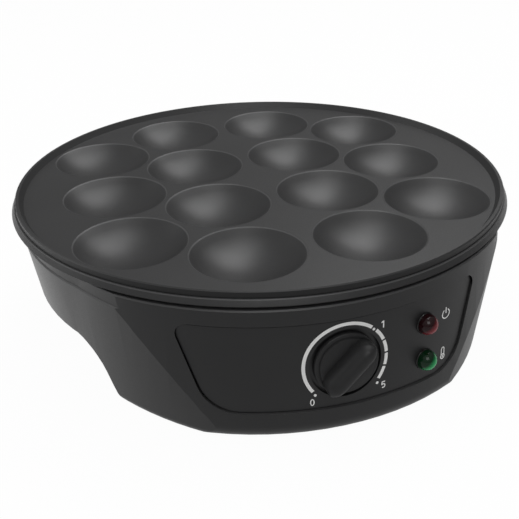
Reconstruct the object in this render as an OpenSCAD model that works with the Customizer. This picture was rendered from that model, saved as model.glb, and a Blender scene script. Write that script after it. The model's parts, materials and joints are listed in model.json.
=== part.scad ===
// Mini pancake maker: a round countertop cooker with a fixed plate of fourteen cups.
// Millimetres, +Z up, front toward -Y, floor at z = 0 under the middle of the footprint.

/* [Plate] */
// Outer diameter of the plate's lower rim step
plate_d = 303; // [290:1:320]
// Height of the lip above the floor
plate_top = 87; // [85:0.5:94]
// Inward lean of the rim's lower step over its height
rim_draft = 1.4; // [0.5:0.1:2]
// Width of the ledge between the two rim steps
ledge_w = 1.2; // [0.8:0.1:2]
// Height of the upper rim step
upper_step = 3.9; // [3.5:0.1:4.2]
// Height of the lower rim step
lower_step = 4.1; // [3.5:0.1:4.6]
// Width of the flat top of the lip
lip_w = 2.2; // [1.5:0.1:3]
// Height of the lip above the cooking face
lip_h = 3.5; // [3:0.1:4]
// Inward run of the lip's sloping inner wall
lip_run = 2.4; // [1:0.1:3]
// Set-back of the plate's spigot from the rim
spigot_set = 12.9; // [12.6:0.1:13.4]
// Reach of the spigot below the rim
spigot_h = 4.4; // [3:0.1:4.6]
// Thickness of the plate between the cups
plate_t = 4; // [3.5:0.1:4.5]
// Diameter of a cup at the cooking face
cup_d = 62.2; // [58:0.2:62.6]
// Depth of a cup
cup_depth = 12.5; // [9:0.5:13]
// Wall of a cup
cup_wall = 3; // [2.5:0.1:3.5]
// Spacing of the cups along a column
cup_pitch = 64.8; // [64.4:0.1:65.4]
// Distance between the two middle columns
mid_gap = 68.2; // [66:0.1:69]
// Distance from a middle column to an outer column
side_gap = 56.3; // [56:0.1:57]

/* [Housing] */
// Height of the housing's lower edge above the floor
base_z = 2; // [1.5:0.1:4]
// Gap between the top of the housing and the plate rim
rim_gap = 1.8; // [1.4:0.1:2.4]
// Thickness of the side wall
wall = 3; // [2.6:0.1:3.4]
// Thickness of the front wall behind the panel
front_wall = 2.6; // [2.2:0.1:3]
// Set-back of the front's top edge from the plate rim
front_set = 0.7; // [0.4:0.1:2]
// Distance that the front's lower edge stands out past its top edge
front_flare = 5.3; // [3:0.1:6]
// Set-back of the side shoulder from the plate rim
side_set = 4.7; // [4.2:0.1:6]
// Inward slope of the side wall in millimetres per millimetre of height
side_slope = 0.14; // [0.12:0.001:0.15]
// Distance from the housing's top down to the side shoulder
shoulder_drop = 6.8; // [6:0.1:8]
// Step of the collar behind the side shoulder
shoulder_step = 0.6; // [0.3:0.1:0.8]
// Radius of the soft lower edge of the sides
edge_r = 6; // [3:0.5:7]
// Radius of the soft lower edge of the front
front_edge = 9; // [6:0.5:11]
// Distance from the middle to the axis of a flank
flank_set = 41.2; // [38:0.1:44]
// Distance that a flank's lower edge lies behind the side at the end of the width
flank_tuck = 2.5; // [1:0.1:3]
// Inward slope of a flank in millimetres per millimetre of height
flank_slope = 0.097; // [0.08:0.001:0.12]

/* [Hand grips] */
// Height of a grip's roof above the housing's lower edge
grip_h = 32; // [28:0.5:34]
// Half width of a grip at the housing's lower edge
grip_half = 94.5; // [90:0.5:96]
// Lean of the grip's ends in degrees
grip_lean = 20; // [14:1:22]
// Radius of the grip's upper corners
grip_r = 22; // [16:0.5:24]
// Distance of the grip's inner wall from the middle
grip_x = 104; // [100:0.5:112]
// Wall round the grip
grip_wall = 2.4; // [2:0.1:3]

/* [Control panel] */
// Thickness of the panel
panel_t = 2; // [1.6:0.1:2.4]
// Depth of the panel's face behind the front
panel_sink = 1.2; // [0.6:0.1:1.6]
// Groove round the panel
panel_gap = 0.9; // [0.4:0.1:1.2]
// Half width of the panel at its top
panel_half = 82.5; // [78:0.5:84]
// Half width of the panel at its lower corners before rounding
panel_low_half = 68.3; // [64:0.1:69]
// Distance from the housing's top down to the panel
panel_drop = 8.7; // [8:0.1:11]
// Distance from the housing's lower edge up to the panel
panel_rise = 17; // [14:0.5:18]
// Radius of the panel's upper corners
panel_r_top = 6; // [3:0.5:8]
// Radius of the panel's lower corners
panel_r_low = 20; // [12:0.5:22]
// Height of the dial's axis above the housing's lower edge
dial_rise = 41.4; // [40:0.1:42]
// Width of the ring-shaped gap round the knob
dial_gap = 2.1; // [1:0.1:3]

/* [Knob and shaft] */
// Diameter of the knob's skirt
knob_d = 34; // [32:0.5:36]
// Height of the knob's skirt
skirt_h = 2.5; // [2:0.1:3]
// Height of the knob's face
face_h = 3.8; // [3.4:0.1:5]
// Width of the step between skirt and face
face_set = 2.4; // [1:0.1:3]
// Height of the knob with its grip bar
knob_h = 13.5; // [12:0.1:15]
// Width of the grip bar at its foot
bar_w = 7.2; // [6:0.1:9]
// Radius of the grip bar's long edges
bar_r = 2.6; // [2:0.1:2.8]
// Gap between the knob and the housing behind it
knob_gap = 0.5; // [0.4:0.1:1]
// Reach of the knob's hub behind its skirt
hub_h = 6.5; // [5:0.1:7]
// Angle of the bar from straight up when the dial is at zero
zero_angle = 135; // [120:1:140]
// Diameter of the shaft
shaft_d = 6; // [5:0.1:6.4]
// Depth of the flat on the shaft
shaft_flat = 1.4; // [1:0.1:1.6]

/* [Lamps] */
// Diameter of a lamp lens
lens_d = 11; // [9.5:0.1:11.5]
// Height of the straight part of a lens
lens_neck = 1.5; // [0.8:0.1:3]
// Angle of the lamps from the middle of the front in degrees
lamp_angle = 17.7; // [17:0.1:19]
// Height of the red lamp above the housing's lower edge
red_rise = 50.8; // [49:0.1:52]
// Height of the green lamp above the housing's lower edge
green_rise = 29.6; // [28:0.1:31]
// Width of the bezel round a lens
bezel_w = 0.5; // [0.4:0.1:1.2]

/* [Heating] */
// Radius of the heating ring
ring_r = 65; // [64.5:0.1:65.5]
// Diameter of the heater tube
tube_d = 7.6; // [7:0.1:8]
// Bend radius where the heater tube turns down
leg_bend = 8; // [7.5:0.1:8.5]
// Half of the angle that the heating ring leaves open in degrees
ring_open = 14; // [13:0.5:16]
// Height of the heat shield's floor above the floor
shield_z = 57; // [54:0.5:58]
// Thickness of sheet steel
sheet = 0.8; // [0.6:0.1:1]

/* [Fasteners and small parts] */
// Diameter of the long plate bolts
bolt_d = 4; // [3.5:0.1:4.4]
// Diameter of the cover screws
screw_d = 3; // [2.6:0.1:3.4]
// Thickness of the bottom cover
cover_t = 2.4; // [2:0.1:2.8]
// Height of the bottom cover's underside above the housing's lower edge
cover_lift = 2.4; // [2:0.1:3]
// Diameter of a rubber foot
foot_d = 16; // [12:0.5:18]
// Bore of the cord inlet
inlet_d = 7.2; // [6.4:0.1:8]

/* [Clearances] */
// Clearance between pieces that are fastened together
fit_gap = 0.1; // [0.05:0.05:0.2]
// Radial clearance of the shaft in its bush
run_gap = 0.05; // [0.02:0.01:0.08]
// Radial clearance of screws and bolts
hole_gap = 0.05; // [0.02:0.01:0.1]
// Clearance round covers and shields
open_gap = 0.4; // [0.3:0.1:0.8]

/* [Hidden] */
$fn = 96;
black = [0.09, 0.09, 0.095];
steel = [0.72, 0.73, 0.74];
ceramic = [0.93, 0.9, 0.84];
brass = [0.8, 0.66, 0.36];

// Plate levels
plate_r = plate_d / 2;
cook_z = plate_top - lip_h;
under_z = cook_z - plate_t;
rim_z = plate_top - upper_step - lower_step;
lip_r = plate_r - rim_draft - ledge_w;
spigot_r = plate_r - spigot_set;
cup_r = cup_d / 2;
cup_ball = (cup_r * cup_r + cup_depth * cup_depth) / (2 * cup_depth);
cup_ball_z = cook_z - cup_depth + cup_ball;
cup_foot_z = cook_z - cup_depth - cup_wall;
mid_x = mid_gap / 2;
out_x = mid_gap / 2 + side_gap;
cup_spots = [
    for (sx = [-1, 1], k = [-1.5, -0.5, 0.5, 1.5]) [sx * mid_x, k * cup_pitch],
    for (sx = [-1, 1], k = [-1, 0, 1]) [sx * out_x, k * cup_pitch]];

// Bosses under the plate stand in the free spaces between the cups
boss_r = 5.5;
boss_z = cup_foot_z - 2.7;
boss_x = (mid_x + 2 * out_x) / 3;
bolt_spots = [for (sx = [-1, 1], sy = [-1, 1]) [sx * boss_x, sy * cup_pitch / 2]];

// Housing levels and radii
top_z = rim_z - rim_gap;
shoulder_z = top_z - shoulder_drop;
side_top_r = plate_r - side_set;
side_r = side_top_r - side_slope * (shoulder_z - base_z);
collar_r = side_top_r - shoulder_step;
front_top_r = plate_r - front_set;
front_r = front_top_r + front_flare;
front_slope = -front_flare / (top_z - base_z);
lean = -atan(front_slope);
flank_r = side_r + flank_set - flank_tuck;
seat_t = 5;
seat_r = spigot_r + open_gap;
gasket_r = seat_r + fit_gap;
gasket_w = 1.4;
cover_z = base_z + cover_lift;
cover_top = cover_z + cover_t;
dial_z = base_z + dial_rise;
front_y = -(front_r + front_slope * dial_rise);
back_in = panel_t + front_wall;
nose_in = panel_sink + back_in;

// Shaft line, measured from front to back along Y before it leans square to the panel
knob_y = front_y + panel_sink + panel_t - knob_gap;
bar_end = (knob_d / 2 - 1.1) * cos(45) + (bar_w / 2 - bar_r) * sin(45);
nose_y = front_y + (knob_y - knob_h - front_y) * cos(lean) - bar_end * sin(lean);
axis_y = -(nose_y + plate_r) / 2;
angle_y = front_y + 19;
angle_t = 1.2;
angle_half = 13;
angle_low = dial_z - 13;
angle_top = boss_z - 2;
bush_r = 5;
bush_len = 9;
bush_flange = 2.5;
bush_end = angle_y + angle_t + bush_flange;
clip_t = 0.8;
shaft_end = bush_end + 0.3 + clip_t + 0.6;
stack_z = angle_top - 8;
stack_y = angle_y + angle_t;
stack_r = 4.5;
blade_t = 0.6;
blade_half = 4;
blade_top = angle_top - angle_t - screw_d * 0.6 - open_gap;
blade_y1 = shaft_end + 0.4;
blade_y2 = blade_y1 + 4.4;
blade_y3 = blade_y2 + 4.4;
stack_end = blade_y3 + blade_t + 2;
rivet_r = 1.5;
angle_boss_y = angle_y + 12;

// Lamps, measured outward from the face of the panel
lens_r = lens_d / 2;
stem_r = lens_r - 1;
stem_len = 12;
bulb_r = 2.6;
lamp_heights = [base_z + red_rise, base_z + green_rise];
peg_r = 1.6;
peg_low = base_z + panel_rise + 6;
peg_spots = [[-28.5, top_z - 22], [28.5, top_z - 22], [-13, peg_low], [13, peg_low]];

// Screws, feet and inlet
screw_ring = side_r - wall - 8.5;
screw_spots = [for (sx = [-1, 1], sy = [-1, 1]) screw_ring * [sx * sin(24.9), sy * cos(24.9)]];
foot_ring = side_r - wall - foot_d / 2 - 1.7;
foot_spots = [for (sx = [-1, 1], sy = [-1, 1]) foot_ring * [sx * sin(32.65), sy * cos(32.65)]];
inlet_z = base_z + 20;
inlet_face = side_r + side_slope * (inlet_z - base_z) + 1.6;
inlet_in = inlet_face - 9;
inlet_neck = 6.4;
block_y = inlet_in - 25.5;
lead_r = 1.3;

// Heater tube and the ends of its legs
heater_z = cup_foot_z + 0.8;
leg_len = 14;
leg_x = ring_r * sin(ring_open) - leg_bend * cos(ring_open);
leg_y = ring_r * cos(ring_open) + leg_bend * sin(ring_open);
leg_z = heater_z - leg_bend - leg_len - 15;

// Points of an arc from angle a0 to angle a1
function arc(cx, cy, r, a0, a1, n = 6) =
    [for (i = [0:n]) [cx + r * cos(a0 + (a1 - a0) * i / n), cy + r * sin(a0 + (a1 - a0) * i / n)]];

// Outline of a hand grip in Y and Z, grown by g on every side
function grip_points(g) =
    let (top = base_z + grip_h + g,
        r = grip_r + g,
        half = grip_half + g / cos(grip_lean),
        cz = top - r,
        cy = half - (cz - base_z) * tan(grip_lean) - r / cos(grip_lean),
        low = base_z - 12,
        low_half = half + 12 * tan(grip_lean))
    concat([[low_half, low]], arc(cy, cz, r, grip_lean, 90), arc(-cy, cz, r, 90, 180 - grip_lean),
        [[-low_half, low]]);

// Outline of the panel in X and Z, shrunk by g on every side
function panel_points(g) =
    let (top = top_z - panel_drop - g,
        low = base_z + panel_rise + g,
        cant = atan((panel_half - panel_low_half) / (top_z - panel_drop - base_z - panel_rise)),
        wide = panel_half - g / cos(cant),
        narrow = panel_low_half - g / cos(cant),
        rt = panel_r_top - g,
        rl = panel_r_low - g,
        txc = wide - rt * tan(cant) - rt / cos(cant),
        lxc = narrow + rl * tan(cant) - rl / cos(cant))
    concat(arc(lxc, low + rl, rl, -90, -cant, 8), arc(txc, top - rt, rt, -cant, 90, 5),
        arc(-txc, top - rt, rt, 90, 180 + cant, 5), arc(-lxc, low + rl, rl, 180 + cant, 270, 8));

// Smooth path through four control points
function mix(p, t) = p[0] * pow(1 - t, 3) + p[1] * 3 * t * pow(1 - t, 2) + p[2] * 3 * t * t * (1 - t)
    + p[3] * pow(t, 3);
function unit(v) = v / norm(v);

// Round tube along a path; at each point the section starts toward the matching entry of refs
module sweep(path, refs, r, sides) {
    last = len(path) - 1;
    way = [for (i = [0:last]) unit(path[min(i + 1, last)] - path[max(i - 1, 0)])];
    side = [for (i = [0:last]) unit(refs[i] - way[i] * (refs[i] * way[i]))];
    rim = [for (i = [0:last], k = [0:sides - 1])
        path[i] + r * (cos(360 * k / sides) * side[i] + sin(360 * k / sides) * cross(way[i], side[i]))];
    walls = [for (i = [0:last - 1], k = [0:sides - 1])
        [i * sides + k, (i + 1) * sides + k, (i + 1) * sides + (k + 1) % sides, i * sides + (k + 1) % sides]];
    start = [for (k = [0:sides - 1]) k];
    end = [for (k = [sides - 1:-1:0]) last * sides + k];
    polyhedron(points = rim, faces = concat([start, end], walls), convexity = 6);
}

// Insulated wire through four control points
module wire(p) {
    steps = 14;
    path = [for (i = [0:steps]) mix(p, i / steps)];
    sweep(path, [for (q = path) [1, 0, 0.2]], lead_r, 8);
}

// One coloured piece, moved so that the origin is the middle of the whole part's footprint
module piece(tone) {
    color(tone) translate([0, axis_y, 0]) children();
}

// Ring of square section
module ring(r_in, r_out, z0, z1) {
    translate([0, 0, z0])
        difference() {
            cylinder(h = z1 - z0, r = r_out);
            translate([0, 0, -1]) cylinder(h = z1 - z0 + 2, r = r_in);
        }
}

// Rod along Y between two places, seen from the front
module rod_y(x, z, y0, y1, r, sides = 48) {
    translate([x, y1, z]) rotate([90, 0, 0]) cylinder(h = y1 - y0, r = r, $fn = sides);
}

// Frame of a lamp or peg: local +Z points outward through the panel, with its zero on the panel's face
module on_front(angle, z) {
    rotate([0, 0, angle])
        translate([0, panel_sink - front_r - front_slope * (z - base_z), z])
            rotate([90 - lean, 0, 0]) children();
}

// Leans what is on the shaft line so that it stands square to the panel
module on_dial() {
    translate([0, front_y, dial_z]) rotate([-lean, 0, 0]) translate([0, -front_y, -dial_z]) children();
}

// Place of a point on the leaning shaft line
function dial_point(p) =
    let (d = p[1] - front_y, h = p[2] - dial_z)
    [p[0], front_y + d * cos(lean) + h * sin(lean), dial_z - d * sin(lean) + h * cos(lean)];

// Outline of a tapered wall with a soft lower edge, a shoulder and a collar; r is its radius at the lower edge
function side_points(r, slope) =
    let (turn = atan(slope), cx = r + slope * edge_r - edge_r / cos(turn), top = r + slope * (shoulder_z - base_z))
    concat([[0, base_z]], arc(cx, base_z + edge_r, edge_r, -90, -turn, 8),
        [[top, shoulder_z - 0.8], [top - 0.5, shoulder_z], [top - shoulder_step, shoulder_z],
            [top - shoulder_step, top_z - 0.4], [top - shoulder_step - 0.4, top_z], [0, top_z]]);

// Flank that comes out of the side body between its width and its front, s = 1 or -1
module flank(s) {
    translate([s * flank_set, 0, 0]) rotate_extrude($fn = 128) polygon(side_points(flank_r, flank_slope));
}

// Cone inside a tapered wall, set in by g; r is the wall's radius at the lower edge
module side_room(r, slope, g, z0, z1) {
    r0 = r + slope * (z0 - base_z) - g;
    translate([0, 0, z0]) cylinder(h = z1 - z0, r1 = r0, r2 = r0 + slope * (z1 - z0));
}

// Leaning front surface, set in by g
module front_cone(g, z0, z1) {
    r0 = front_r + front_slope * (z0 - base_z) - g;
    translate([0, 0, z0]) cylinder(h = z1 - z0, r1 = r0, r2 = r0 + front_slope * (z1 - z0));
}

// Front surface with a soft lower edge and a broken top edge
module front_body() {
    cx = front_r + front_slope * front_edge - front_edge / cos(lean);
    rotate_extrude()
        polygon(concat([[0, base_z]], arc(cx, base_z + front_edge, front_edge, -90, lean, 8),
            [[front_top_r + 0.05, top_z - 0.7], [front_top_r - 0.7, top_z], [0, top_z]]));
}

// Everything in front of the plate's axis
module front_half() {
    translate([-plate_r - 20, -plate_r - 40, base_z - 20]) cube([2 * plate_r + 40, plate_r + 40, 120]);
}

// Hand grip prism, grown by g, on both sides
module grips(g) {
    for (side = [0, 1])
        mirror([side, 0, 0])
            translate([grip_x - g, 0, 0]) rotate([90, 0, 90])
                linear_extrude(height = 60) polygon(grip_points(g));
}

// Panel prism, shrunk by g, reaching forward from the middle
module panel_prism(g) {
    translate([0, -60, 0]) rotate([90, 0, 0]) linear_extrude(height = 110) polygon(panel_points(g));
}

module baking_plate() {
    tube_r = tube_d / 2 + fit_gap;
    piece([0.2, 0.2, 0.21])
    difference() {
        union() {
            rotate_extrude()
                polygon([[0, under_z], [spigot_r - 4, under_z], [spigot_r - 4, rim_z - spigot_h],
                    [spigot_r, rim_z - spigot_h], [spigot_r, rim_z], [plate_r - 1, rim_z],
                    [plate_r, rim_z + 1],
                    [plate_r - rim_draft, plate_top - upper_step - 0.4],
                    [plate_r - rim_draft - 0.4, plate_top - upper_step], [lip_r, plate_top - upper_step],
                    [lip_r, plate_top - 0.6], [lip_r - 0.6, plate_top], [lip_r - lip_w, plate_top],
                    [lip_r - lip_w - lip_run, cook_z], [0, cook_z]]);
            for (p = cup_spots)
                translate([p[0], p[1], 0])
                    intersection() {
                        translate([0, 0, cup_ball_z]) sphere(r = cup_ball + cup_wall);
                        translate([-p[0], -p[1], cup_foot_z - 1])
                            cylinder(h = under_z + 1 - cup_foot_z + 1, r = spigot_r);
                    }
            ring(ring_r - 6, ring_r + 6, cup_foot_z, under_z + 1);
            for (p = bolt_spots)
                translate([p[0], p[1], boss_z]) cylinder(h = under_z + 1 - boss_z, r = boss_r);
            on_dial() translate([0, angle_boss_y, boss_z - 2]) cylinder(h = under_z + 6 - boss_z, r = 6.5);
            translate([0, 0, boss_z]) cylinder(h = under_z + 1 - boss_z, r = boss_r);
        }
        for (p = cup_spots) {
            translate([p[0], p[1], cup_ball_z]) sphere(r = cup_ball);
            translate([p[0], p[1], cook_z - 0.5]) cylinder(h = 1, r1 = cup_r - 0.55, r2 = cup_r + 1.1);
        }
        translate([0, 0, heater_z]) rotate_extrude() translate([ring_r, 0]) circle(r = tube_r);
        ring(ring_r - tube_r * 0.98, ring_r + tube_r * 0.98, cup_foot_z - 1, heater_z);
        for (p = bolt_spots)
            translate([p[0], p[1], boss_z - 1]) cylinder(h = 9, r = bolt_d / 2 + hole_gap, $fn = 32);
        on_dial() translate([0, angle_boss_y, boss_z - 3])
            cylinder(h = 10, r = screw_d / 2 + hole_gap, $fn = 32);
        translate([0, 0, boss_z - 1]) cylinder(h = 9, r = screw_d / 2 + hole_gap, $fn = 32);
        for (sx = [-1, 1])
            rotate([0, 0, 90 + sx * ring_open]) translate([ring_r, -sx * 6, cup_foot_z - 6])
                cube([tube_d + 1.6, 22, 24], center = true);
    }
}

module plate_gasket() {
    piece([0.12, 0.12, 0.12]) ring(gasket_r, gasket_r + gasket_w, top_z, rim_z);
}

// Points of the bend between the ring and a leg, s = 1 on the right and -1 on the left
function elbow(s, a) =
    let (x = s * ring_r * sin(ring_open), y = ring_r * cos(ring_open), go = leg_bend * sin(a))
    [x - s * go * cos(ring_open), y + go * sin(ring_open), heater_z + leg_bend * (cos(a) - 1)];

// Heater tube: open ring with both ends turned down
module heating_element() {
    steps = 72;
    turn = (360 - 2 * ring_open) / steps;
    path = concat([elbow(1, 90) - [0, 0, leg_len]],
        [for (a = [90:-15:0]) elbow(1, a)],
        [for (k = [1:steps - 1])
            let (a = 90 - ring_open - k * turn) [ring_r * cos(a), ring_r * sin(a), heater_z]],
        [for (a = [0:15:90]) elbow(-1, a)],
        [elbow(-1, 90) - [0, 0, leg_len]]);
    piece([0.45, 0.44, 0.43]) sweep(path, [for (q = path) [q[0], q[1], 0]], tube_d / 2, 16);
}

// Places the ends of the two heater legs
module at_legs() {
    z = heater_z - leg_bend - leg_len;
    for (sx = [0, 1])
        mirror([sx, 0, 0])
            rotate([0, 0, 90 - ring_open]) translate([ring_r, leg_bend, z]) children();
}

module element_beads() {
    piece(ceramic)
    at_legs()
        difference() {
            translate([0, 0, -4]) cylinder(h = 4, r = 3.2, $fn = 32);
            translate([0, 0, -5]) cylinder(h = 4.2, r = 1.6, $fn = 32);
        }
}

module element_tabs() {
    piece(steel)
    at_legs() {
        translate([0, 0, -7]) cylinder(h = 6.2, r = 1.5, $fn = 32);
        translate([-3.15, -0.4, -15]) cube([6.3, 0.8, 8.4]);
    }
}

module heat_shield() {
    r = spigot_r - 16;
    rim = 8;
    piece([0.66, 0.67, 0.68])
    difference() {
        rotate_extrude()
            polygon([[0, shield_z], [r, shield_z], [r + 4, shield_z + rim], [r + 8, shield_z + rim],
                [r + 8, shield_z + rim + sheet], [r + 3.4, shield_z + rim + sheet],
                [r - 0.5, shield_z + sheet], [0, shield_z + sheet]]);
        for (p = bolt_spots)
            translate([p[0], p[1], shield_z - 1]) cylinder(h = 4, r = bolt_d / 2 + hole_gap, $fn = 32);
        translate([-18, ring_r - 8, shield_z - 1]) cube([36, 16, 4]);
        translate([-angle_half - 4, -plate_r, shield_z - 1])
            cube([2 * angle_half + 8, plate_r + angle_y + 32, 20]);
        for (k = [-1, 1])
            translate([k * 34, 0, shield_z - 1]) cylinder(h = 4, r = 6, $fn = 32);
    }
}

module shield_spacers() {
    piece(steel)
    for (p = bolt_spots)
        translate([p[0], p[1], 0])
            ring(bolt_d / 2 + hole_gap + 0.1, boss_r - 0.5, shield_z + sheet, boss_z, $fn = 48);
}

module plate_posts() {
    piece(steel)
    for (p = bolt_spots)
        translate([p[0], p[1], 0])
            ring(bolt_d / 2 + hole_gap + 0.1, boss_r - 0.5, cover_top, shield_z, $fn = 48);
}

module plate_bolts() {
    head = 1.9;
    piece(steel)
    for (p = bolt_spots)
        translate([p[0], p[1], cover_z])
            difference() {
                union() {
                    translate([0, 0, -head]) cylinder(h = head, r1 = bolt_d - 0.7, r2 = bolt_d, $fn = 32);
                    cylinder(h = boss_z + 7 - cover_z, r = bolt_d / 2, $fn = 32);
                }
                for (a = [0, 90])
                    rotate([0, 0, a]) translate([-2.2, -0.4, -head - 1]) cube([4.4, 0.8, 2]);
            }
}

// Everything inside the walls of the housing, set in by g from the room's own walls
module room(g, z0, z1) {
    side_room(side_r, side_slope, wall + g, z0, z1);
    intersection() {
        front_cone(nose_in + g, z0, z1);
        translate([flank_set, 0, 0]) side_room(flank_r, flank_slope, wall + g, z0, z1);
        translate([-flank_set, 0, 0]) side_room(flank_r, flank_slope, wall + g, z0, z1);
        front_half();
    }
}

module housing() {
    post_r = 5;
    post_top = base_z + 34;
    piece(black)
    difference() {
        union() {
            difference() {
                union() {
                    rotate_extrude() polygon(side_points(side_r, side_slope));
                    intersection() {
                        front_body();
                        flank(1);
                        flank(-1);
                        front_half();
                    }
                    rod_y(0, inlet_z, inlet_in - 4, inlet_face, 11, 64);
                }
                difference() {
                    room(0, base_z - 5, top_z - seat_t);
                    grips(grip_wall);
                    rod_y(0, inlet_z, inlet_in, inlet_face, 11, 64);
                }
                translate([0, 0, top_z - seat_t - 1]) cylinder(h = 20, r = seat_r);
            }
            for (p = screw_spots) {
                turn = atan2(p[1], p[0]);
                translate([p[0], p[1], cover_top]) cylinder(h = post_top - cover_top, r = post_r, $fn = 48);
                front_in = front_r + front_slope * (post_top - base_z) - nose_in;
                reach = (p[1] < 0 ? front_in : side_r - wall) + 1.2 - norm(p);
                rotate([0, 0, turn]) translate([norm(p), -1.2, cover_top + open_gap])
                    cube([reach, 2.4, post_top - cover_top - open_gap]);
            }
        }
        grips(0);
        difference() {
            panel_prism(0);
            front_cone(panel_sink + panel_t, base_z, top_z);
        }
        on_dial() rod_y(0, dial_z, front_y - 5, angle_y - 8, 9, 48);
        for (z = lamp_heights)
            on_front(lamp_angle, z) translate([0, 0, -12]) cylinder(h = 14, r = stem_r + open_gap, $fn = 48);
        for (p = peg_spots)
            on_front(p[0], p[1]) translate([0, 0, -10]) cylinder(h = 12, r = peg_r + hole_gap, $fn = 32);
        rod_y(0, inlet_z, inlet_in - 5, inlet_face + 5, inlet_neck + fit_gap, 64);
        for (p = screw_spots)
            translate([p[0], p[1], cover_top - 1]) cylinder(h = 14, r = screw_d / 2 + hole_gap, $fn = 32);
    }
}

module control_panel() {
    piece([0.07, 0.07, 0.075])
    difference() {
        union() {
            intersection() {
                panel_prism(panel_gap);
                difference() {
                    front_cone(panel_sink, base_z, top_z);
                    front_cone(panel_sink + panel_t - fit_gap, base_z - 1, top_z + 1);
                }
            }
            for (p = peg_spots)
                on_front(p[0], p[1]) translate([0, 0, -back_in - 3])
                    cylinder(h = back_in + 2, r = peg_r, $fn = 32);
        }
        on_dial() rod_y(0, dial_z, front_y - 5, front_y + 10, knob_d / 2 + dial_gap, 96);
        for (z = lamp_heights)
            on_front(lamp_angle, z) translate([0, 0, -10]) cylinder(h = 14, r = stem_r + fit_gap, $fn = 48);
    }
}

module panel_nuts() {
    piece(steel)
    for (p = peg_spots)
        on_front(p[0], p[1]) ring(peg_r + hole_gap, 4, -back_in - 1.8, -back_in - 0.9, $fn = 32);
}

// Knob drawn with local +Z outward, then laid on the dial's axis
module control_knob() {
    r = knob_d / 2;
    foot = bar_w / 2;
    top = foot - 0.5;
    face_r = r - face_set;
    piece([0.06, 0.06, 0.065])
    on_dial() translate([0, knob_y, dial_z]) rotate([90, 0, 0])
        difference() {
            union() {
                rotate_extrude()
                    polygon([[0, -hub_h], [6, -hub_h], [6, 0], [r - 0.4, 0], [r, 0.4], [r, skirt_h - 0.6],
                        [r - 0.6, skirt_h], [face_r + 0.2, skirt_h], [face_r, face_h - 0.5],
                        [face_r - 0.5, face_h], [0, face_h]]);
                intersection() {
                    rotate([0, 0, 180 + zero_angle]) rotate([90, 0, 0])
                        translate([0, 0, -r]) linear_extrude(height = 2 * r)
                            polygon(concat([[-foot, 1], [foot, 1]],
                                arc(top - bar_r, knob_h - bar_r, bar_r, 0, 90, 8),
                                arc(bar_r - top, knob_h - bar_r, bar_r, 90, 180, 8)));
                    cylinder(h = knob_h + 1, r1 = r - 0.2, r2 = r - 1.2);
                }
            }
            intersection() {
                translate([0, 0, -hub_h - 1]) cylinder(h = hub_h + 4, r = shaft_d / 2 + fit_gap, $fn = 48);
                translate([-shaft_d, -shaft_d / 2 - 1, -hub_h - 2])
                    cube([2 * shaft_d, shaft_d + 1 - shaft_flat + fit_gap, knob_h + hub_h]);
            }
        }
}

module thermostat_shaft() {
    tip = knob_y - 2.6;
    piece(steel)
    on_dial() difference() {
        rod_y(0, dial_z, tip, shaft_end, shaft_d / 2);
        translate([-shaft_d, tip - 1, dial_z + shaft_d / 2 - shaft_flat])
            cube([2 * shaft_d, knob_y + hub_h - tip + 1.4, shaft_d]);
        translate([0, 0, dial_z]) rotate([90, 0, 0])
            ring(shaft_d / 2 - 0.6, shaft_d, -bush_end - 0.35 - clip_t, -bush_end - 0.25, $fn = 48);
    }
}

module shaft_clip() {
    piece(steel)
    on_dial() translate([0, 0, dial_z]) rotate([90, 0, 0])
        difference() {
            ring(shaft_d / 2 - 0.55, shaft_d / 2 + 2, -bush_end - 0.3 - clip_t, -bush_end - 0.3, $fn = 48);
            translate([-1, 0, -bush_end - 5]) cube([2, 8, 10]);
        }
}

module thermostat_bush() {
    piece(brass)
    on_dial() difference() {
        union() {
            rod_y(0, dial_z, angle_y - bush_len, bush_end, bush_r);
            rod_y(0, dial_z, bush_end - bush_flange, bush_end, bush_r + 2.5, 6);
        }
        rod_y(0, dial_z, angle_y - bush_len - 1, bush_end + 1, shaft_d / 2 + run_gap);
    }
}

module bush_nut() {
    piece(brass)
    on_dial() difference() {
        rod_y(0, dial_z, angle_y - 3.2, angle_y, bush_r + 3, 6);
        rod_y(0, dial_z, angle_y - 4, angle_y + 1, bush_r + hole_gap);
    }
}

module thermostat_bracket() {
    piece(steel)
    on_dial() difference() {
        union() {
            translate([-angle_half, angle_y, angle_low])
                cube([2 * angle_half, angle_t, angle_top - angle_low]);
            translate([-angle_half, angle_y, angle_top - angle_t]) cube([2 * angle_half, 21, angle_t]);
        }
        rod_y(0, dial_z, angle_y - 1, angle_y + angle_t + 1, bush_r + hole_gap);
        rod_y(0, stack_z, angle_y - 1, angle_y + angle_t + 1, rivet_r + hole_gap, 32);
        translate([0, angle_boss_y, angle_top - 4]) cylinder(h = 6, r = screw_d / 2 + hole_gap, $fn = 32);
    }
}

// Pan-head screw pointing up, head at z = 0 and below
module screw_up(d, long) {
    difference() {
        union() {
            translate([0, 0, -d * 0.6]) cylinder(h = d * 0.6, r1 = d * 0.75, r2 = d, $fn = 32);
            cylinder(h = long, r = d / 2, $fn = 32);
        }
        for (a = [0, 90])
            rotate([0, 0, a]) translate([-d * 0.5, -d * 0.12, -d]) cube([d, d * 0.24, d * 0.65]);
    }
}

module bracket_screw() {
    piece(steel) on_dial() translate([0, angle_boss_y, angle_top - angle_t]) screw_up(screw_d, 9);
}

module ceramic_stack() {
    piece(ceramic)
    on_dial() difference() {
        union() {
            rod_y(0, stack_z, stack_y, blade_y1, stack_r);
            rod_y(0, stack_z, blade_y1 + blade_t, blade_y2, stack_r);
            rod_y(0, stack_z, blade_y2 + blade_t, blade_y3, stack_r);
            rod_y(0, stack_z, blade_y3 + blade_t, stack_end, stack_r);
        }
        rod_y(0, stack_z, stack_y - 1, stack_end + 1, rivet_r + hole_gap, 32);
    }
}

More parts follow.
